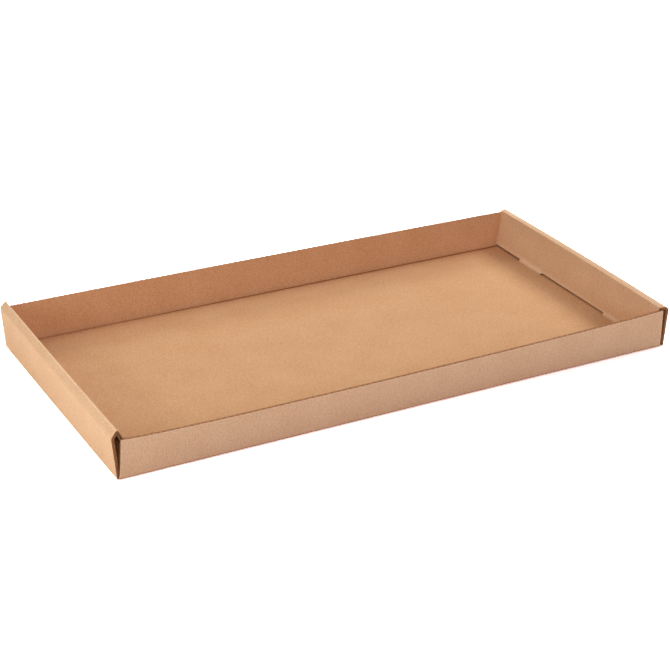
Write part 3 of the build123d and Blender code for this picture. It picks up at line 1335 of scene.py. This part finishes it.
@dataclass(frozen=True)
class KraftFinish:
    """Matt kraft paper, mottled by its fibres."""

    paper: Paper
    colour: Spot
    spread: Spot = (0.23, 0.40, 0.60)  # how far each channel swings from the colour, as a share
    mottle: float = 0.28  # strength of the clouds and blotches
    streak: float = 0.6  # strength of the streaks beside theirs
    fibre: float = 0.30
    grain: float = 0.95
    relief: float = 0.05  # height of the bumps
    blotch_relief: float = 0.8  # share of the blotches in them, the fibres' being 1
    cut_and_shade_tint: Spot = (0.50, 0.37, 0.24)  # tint of cut edges, partly their own colour and partly painted shade of the open flutes, and painted shade where paper is shut in
    # painted shade in creases and folds
    crease_shade_tint: Spot = (0.77, 0.58, 0.35)
    # scuffs and painted highlight
    scuff_and_highlight_tint: Spot = (1.19, 1.22, 1.27)
    roughness: float = 0.86
    sheen: float = 0.25

    def build(self) -> bpy.types.Material:
        """Makes the material on the blank's own UV map.

        Returns:
            The finished material.
        """
        material = bpy.data.materials.new(self.paper.value)
        material.use_nodes = True
        tree = material.node_tree
        shader = tree.nodes["Principled BSDF"]
        shader.inputs["Roughness"].default_value = self.roughness
        shader.inputs["Specular IOR Level"].default_value = self.sheen
        where = put(tree, "ShaderNodeTexCoord", {}, "Object" if self.paper is Paper.FLUTED else "UV")
        patterns = (CLOUDS, BLOTCHES, STREAKS, FIBRES, GRAIN)
        clouds, blotches, streaks, fibres, grain = (pattern.build(tree, where) for pattern in patterns)
        mottle = ((clouds, self.mottle), (blotches, self.mottle), (streaks, self.streak * self.mottle))
        tones = {
            "A": self.shade(-1),
            "B": self.shade(1),
            "Factor": self.sum_of(tree, (*mottle, (fibres, self.fibre), (grain, self.grain))),
        }
        colour = put(tree, "ShaderNodeMix", tones, "Result", data_type="RGBA")
        # The cut layer brings cut edges and painted shade; the worn layer brings scuffs and painted
        # highlight above zero, and painted shade in creases below zero.
        cut = put(tree, "ShaderNodeAttribute", {}, "Fac", attribute_name=CUT_AND_SHADE_LAYER)
        wear_and_painted_light = put(tree, "ShaderNodeAttribute", {}, "Fac", attribute_name=WEAR_AND_LIGHT_LAYER)
        crease_shade_share = put(tree, "ShaderNodeMath", {0: wear_and_painted_light, 1: -1.0}, operation="MULTIPLY")
        for share, tint in ((cut, self.cut_and_shade_tint), (crease_shade_share, self.crease_shade_tint), (wear_and_painted_light, self.scuff_and_highlight_tint)):
            colour = self.tinted(tree, colour, share, tint)
        tree.links.new(colour, shader.inputs["Base Color"])
        rough = self.sum_of(tree, ((fibres, 1.0), (blotches, self.blotch_relief)))
        bumps = {"Strength": 1.0, "Distance": self.relief * MM, "Height": rough}
        tree.links.new(put(tree, "ShaderNodeBump", bumps), shader.inputs["Normal"])
        return material

    def shade(self, way: int) -> tuple[float, float, float, float]:
        """The deepest or palest tone that the fibres mix between."""
        red, green, blue = (tone * (1 + way * share) for tone, share in zip(self.colour, self.spread))
        return (red, green, blue, 1.0)

    def tinted(self, tree: Tree, colour: Socket, share: Socket, tint: Spot) -> Socket:
        """The paper's colour, multiplied by a tint as far as a share from 0 to 1 says."""
        inputs = {"Factor": share, "A": colour, "B": (*tint, 1.0)}
        return put(tree, "ShaderNodeMix", inputs, "Result", data_type="RGBA", blend_type="MULTIPLY")

    def sum_of(self, tree: Tree, parts: tuple[tuple[Socket, float], ...]) -> Socket:
        """One half plus each noise's departure from its own middle, by its strength.

        Args:
            tree: the material's tree.
            parts: each noise with its strength.

        Returns:
            The sum.
        """
        total = NOISE_MIDDLE - sum(strength for _, strength in parts) * NOISE_MIDDLE
        for noise, strength in parts:
            total = put(tree, "ShaderNodeMath", {0: noise, 1: strength, 2: total}, operation="MULTIPLY_ADD")
        return total


FINISHES = (
    KraftFinish(Paper.OUTSIDE, (0.70, 0.435, 0.248), spread=(0.22, 0.36, 0.50)),
    KraftFinish(Paper.INSIDE, (0.655, 0.358, 0.174), grain=1.05),
    KraftFinish(Paper.FLUTED, (0.40, 0.205, 0.09), relief=0.08, cut_and_shade_tint=(0.60, 0.48, 0.36)),
)


class Liners:
    """The outside and inside liners of the whole folded sheet."""

    def __init__(self, finishes: dict[Paper, bpy.types.Material]) -> None:
        """Keeps the finishes and the strip that both liners follow."""
        self.finishes = finishes
        self.strip = EndsAndBase()

    def sheets(self, paper: Paper) -> list[Sheet]:
        """The parts of one paper, in the strip and in the two long sides.

        Args:
            paper: which of the two liners.

        Returns:
            The strip's part, then each side's with its two flaps.
        """
        depth = BOARD.thickness
        skin = BOARD.liner
        if paper is Paper.OUTSIDE:
            outer, inner = 0.0, skin
        else:
            outer, inner = depth - skin, depth
        sheets = [self.strip.paper(outer, inner)]
        for side in (FRONT, BACK):
            grid = side.levels if paper is Paper.OUTSIDE else side.inner_levels
            sheets.append(side.paper(grid, outer, inner))
            sheets += [side.flap(end, outer, inner) for end in (LEFT, RIGHT)]
        return sheets

    def build(self, paper: Paper) -> bpy.types.Object:
        """One liner as one piece.

        Args:
            paper: which of the two liners.

        Returns:
            The liner's object.
        """
        whole = bmesh.new()
        for sheet in self.sheets(paper):
            sheet.write(whole)
        return finished(paper.value, whole, self.finishes[paper])


@dataclass(frozen=True)
class Lamp:
    """A soft rectangular lamp that shines at a point of the tray."""

    name: str
    place: Spot
    target: Spot
    size: Point
    power: float
    colour: Spot = (1.0, 1.0, 1.0)

    def build(self) -> None:
        """Adds the lamp to the scene."""
        data = bpy.data.lights.new(self.name, "AREA")
        data.shape = "RECTANGLE"
        data.size, data.size_y = (side * MM for side in self.size)
        data.energy = self.power
        data.color = self.colour
        lamp = bpy.data.objects.new(self.name, data)
        way = Vector(self.target) - Vector(self.place)
        turn = way.to_track_quat("-Z", "Y").to_matrix().to_4x4()
        lamp.matrix_world = Matrix.Translation(Vector(self.place) * MM) @ turn
        bpy.context.scene.collection.objects.link(lamp)


@dataclass(frozen=True)
class Studio:
    """The floor, the light and the camera."""

    eye: Spot = (-772.5, -1370.9, 782.0)
    heading: float = 29.28  # degrees from +Y towards +X
    dip: float = 26.07  # degrees below the horizon
    roll: float = 1.43  # degrees
    focus: float = 1716.0  # focal length, in pixels of the photograph
    frame: float = 670.0  # width of the photograph, in pixels
    sensor: float = 36.0
    sight: float = 50.0  # how far the camera sees, in metres
    floor_size: float = 3200.0
    floor_drop: float = 0.4  # from the underside of the tray down to the floor
    floor_tone: float = 0.88  # the floor's grey where it lights the tray
    floor_seen: float = 2.8  # its tone where the camera sees it
    sky: float = 0.03  # strength of the light from all round

    def build(self) -> None:
        """Sets up everything around the tray."""
        self.add_camera()
        self.add_sky()
        self.add_floor()
        for lamp in LAMPS:
            lamp.build()
        bpy.context.scene.view_settings.view_transform = "Standard"

    def add_camera(self) -> None:
        """Adds the camera where the photograph was taken from."""
        yaw, pitch, roll = (math.radians(angle) for angle in (self.heading, self.dip, self.roll))
        ahead = Vector((math.sin(yaw) * math.cos(pitch), math.cos(yaw) * math.cos(pitch), -math.sin(pitch)))
        level = Vector((math.cos(yaw), -math.sin(yaw), 0.0))
        upright = level.cross(ahead)
        right = level * math.cos(roll) + upright * math.sin(roll)
        up = upright * math.cos(roll) - level * math.sin(roll)
        data = bpy.data.cameras.new("camera")
        data.sensor_width = self.sensor
        data.lens = self.focus / self.frame * self.sensor
        data.clip_end = self.sight
        camera = bpy.data.objects.new("camera", data)
        turn = Matrix((right, up, -ahead)).transposed().to_4x4()
        camera.matrix_world = Matrix.Translation(Vector(self.eye) * MM) @ turn
        bpy.context.scene.collection.objects.link(camera)
        bpy.context.scene.camera = camera

    def add_sky(self) -> None:
        """Adds soft light from all round, which shows as plain white."""
        world = bpy.data.worlds.new("studio")
        bpy.context.scene.world = world
        world.use_nodes = True
        tree = world.node_tree
        back = tree.nodes["Background"]
        back.inputs["Color"].default_value = (1.0, 1.0, 1.0, 1.0)
        tree.links.new(self.seen_or_lit(tree, 1.0, self.sky), back.inputs["Strength"])

    def add_floor(self) -> None:
        """Adds the pale floor that the tray stands on."""
        half = self.floor_size / 2
        corners = [(-half, -half), (half, -half), (half, half), (-half, half)]
        mesh = bpy.data.meshes.new("floor")
        mesh.from_pydata([Vector((x, y, -self.floor_drop)) * MM for x, y in corners], [], [(0, 1, 2, 3)])
        material = bpy.data.materials.new("pale_floor")
        material.use_nodes = True
        tree = material.node_tree
        shader = tree.nodes["Principled BSDF"]
        shader.inputs["Roughness"].default_value = 1.0
        shader.inputs["Specular IOR Level"].default_value = 0.0
        tone = self.seen_or_lit(tree, self.floor_seen, self.floor_tone)
        tree.links.new(tone, shader.inputs["Base Color"])
        mesh.materials.append(material)
        link("floor", mesh)

    def seen_or_lit(self, tree: Tree, seen: float, lit: float) -> Socket:
        """One value for what the camera or a gloss sees directly, and another for the light given off.

        Args:
            tree: the tree that takes the nodes.
            seen: the value where it is seen.
            lit: the value for its light.

        Returns:
            The value for the ray at hand.
        """
        path = tree.nodes.new("ShaderNodeLightPath").outputs
        seen_rays = {0: path["Is Camera Ray"], 1: path["Is Glossy Ray"]}
        either = put(tree, "ShaderNodeMath", seen_rays, operation="MAXIMUM")
        seen_rays = {0: either, 1: path["Is Transmission Ray"]}
        through = put(tree, "ShaderNodeMath", seen_rays, operation="MAXIMUM")
        return put(tree, "ShaderNodeMapRange", {"To Min": lit, "To Max": seen, "Value": through})


LAMPS = (
    Lamp("high_back_right", place=(1400, 1400, 1700), target=(0, 0, 0), size=(1500, 1500), power=27.6),
    Lamp("high_right", place=(1900, 500, 1900), target=(0, 0, 0), size=(900, 900), power=26.1),
    Lamp("high_back", place=(0, 2200, 1600), target=(0, 0, 0), size=(900, 900), power=14.4),
    Lamp("high_left", place=(-1700, 300, 1200), target=(-100, 0, 0), size=(900, 900), power=9.4),
    Lamp("low_left", place=(-900, -150, 250), target=(-200, 0, 20), size=(500, 300), power=2.45),
    Lamp(
        "front",
        place=(0, -1500, 700),
        target=(0, 0, 20),
        size=(1400, 500),
        power=11.3,
        colour=(0.98, 0.94, 1.10),
    ),
)


def main() -> None:
    """Builds and dresses the tray, piece by piece."""
    logging.basicConfig(level=logging.INFO, format="%(message)s")
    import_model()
    finishes = {finish.paper: finish.build() for finish in FINISHES}
    liners = Liners(finishes)
    pieces = [liners.build(paper) for paper in (Paper.OUTSIDE, Paper.INSIDE)]
    pieces.append(FlutedEdges(finishes[Paper.FLUTED]).build())
    for piece in pieces:
        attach(piece, BODY)
        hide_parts(CAD_NODE)
        log.info("%s: %d faces", piece.name, len(piece.data.polygons))
    Studio().build()


if __name__ == "__main__":
    main()
